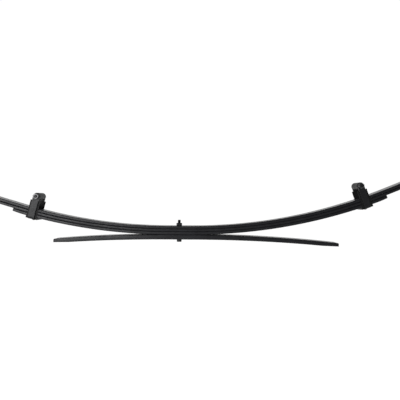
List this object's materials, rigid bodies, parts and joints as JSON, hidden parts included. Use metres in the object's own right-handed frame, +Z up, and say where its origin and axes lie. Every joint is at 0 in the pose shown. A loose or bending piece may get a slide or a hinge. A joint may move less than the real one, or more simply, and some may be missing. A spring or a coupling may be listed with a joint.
{
  "type": "leaf spring",
  "caption": "Rear suspension leaf spring: stacked arched leaves over a thick flat overload leaf, with a centre bolt, rebound clips with rollers, and rolled eyes with rubber bushes.",
  "frame": {"origin": "on the centre bolt's axis, in the overload leaf's flat bottom face, which sits on the axle", "axes": "+X along the spring to the rear (shackle) eye, -X to the front (fixed) eye, Y across the leaves, +Z up, towards the main leaf"},
  "size_m": [1.4985, 0.0916, 0.2818],
  "materials": {
    "spring_steel": "semi-gloss black paint over forged spring steel",
    "bolt_steel": "semi-gloss black paint",
    "clip_steel": "semi-gloss black paint over bent bar",
    "clip_fastener": "black paint over cold-headed steel",
    "roller_steel": "semi-gloss black paint",
    "liner_plastic": "matt black moulded plastic",
    "pad_plastic": "dark moulded low-friction plastic",
    "bush_rubber": "matt black rubber",
    "bush_steel": "plain steel, phosphated",
    "sleeve_steel": "zinc-plated steel"
  },
  "bodies": {
    "pack": {"main_leaf": "spring_steel", "second_leaf": "spring_steel", "third_leaf": "spring_steel", "overload_leaf": "spring_steel", "centre_bolt": "bolt_steel", "centre_nut": "bolt_steel", "front_second_leaf_pad": "pad_plastic", "rear_second_leaf_pad": "pad_plastic", "front_third_leaf_pad": "pad_plastic", "rear_third_leaf_pad": "pad_plastic"},
    "front_eye": {"front_bush_shell": "bush_steel", "front_bush_rubber": "bush_rubber"},
    "front_sleeve": {"front_bush_sleeve": "sleeve_steel"},
    "front_clip": {"front_clip_strap": "clip_steel", "front_clip_liner": "liner_plastic", "front_clip_bolt": "bolt_steel", "front_clip_nut": "clip_fastener", "front_clip_rivet": "clip_fastener"},
    "front_roller": {"front_clip_roller": "roller_steel"},
    "rear_eye": {"rear_bush_shell": "bush_steel", "rear_bush_rubber": "bush_rubber"},
    "rear_sleeve": {"rear_bush_sleeve": "sleeve_steel"},
    "rear_clip": {"rear_clip_strap": "clip_steel", "rear_clip_liner": "liner_plastic", "rear_clip_bolt": "bolt_steel", "rear_clip_nut": "clip_fastener", "rear_clip_rivet": "clip_fastener"},
    "rear_roller": {"rear_clip_roller": "roller_steel"}
  },
  "joints": [
    {"name": "front_arm_flex", "type": "hinge", "parent": "pack", "child": "front_eye", "pos_m": [-0.21472, 0, 0.04878], "axis": [0, -1, 0], "range_deg": [-2, 14], "stiffness_Nm_per_rad": 4600, "deforming": ["main_leaf", "second_leaf", "third_leaf", "front_second_leaf_pad", "front_third_leaf_pad"]},
    {"name": "front_clip_ride", "type": "hinge", "parent": "pack", "child": "front_clip", "pos_m": [-0.30836, 0, 0.05142], "axis": [0, -1, 0], "range_deg": [-2.72, 18.41]},
    {"name": "front_bush_twist", "type": "hinge", "parent": "front_eye", "child": "front_sleeve", "pos_m": [-0.64241, 0, 0.16988], "axis": [0, 1, 0], "range_deg": [-20, 20], "stiffness_Nm_per_rad": 80},
    {"name": "front_roller_spin", "type": "hinge", "parent": "front_clip", "child": "front_roller", "pos_m": [-0.46233, 0, 0.13865], "axis": [0, 1, 0], "continuous": true},
    {"name": "rear_arm_flex", "type": "hinge", "parent": "pack", "child": "rear_eye", "pos_m": [0.25798, 0, 0.05385], "axis": [0, 1, 0], "range_deg": [-2, 16], "stiffness_Nm_per_rad": 3500, "deforming": ["main_leaf", "second_leaf", "third_leaf", "rear_second_leaf_pad", "rear_third_leaf_pad"]},
    {"name": "rear_clip_ride", "type": "hinge", "parent": "pack", "child": "rear_clip", "pos_m": [0.37086, 0, 0.06332], "axis": [0, 1, 0], "range_deg": [-2.67, 20.7]},
    {"name": "rear_bush_twist", "type": "hinge", "parent": "rear_eye", "child": "rear_sleeve", "pos_m": [0.78658, 0, 0.23361], "axis": [0, 1, 0], "range_deg": [-20, 20], "stiffness_Nm_per_rad": 80},
    {"name": "rear_roller_spin", "type": "hinge", "parent": "rear_clip", "child": "rear_roller", "pos_m": [0.58922, 0, 0.17776], "axis": [0, 1, 0], "continuous": true}
  ],
  "couplings": [
    {"joint": "front_clip_ride", "follows": "front_arm_flex", "ratio": 1.3082},
    {"joint": "rear_clip_ride", "follows": "rear_arm_flex", "ratio": 1.2873}
  ]
}
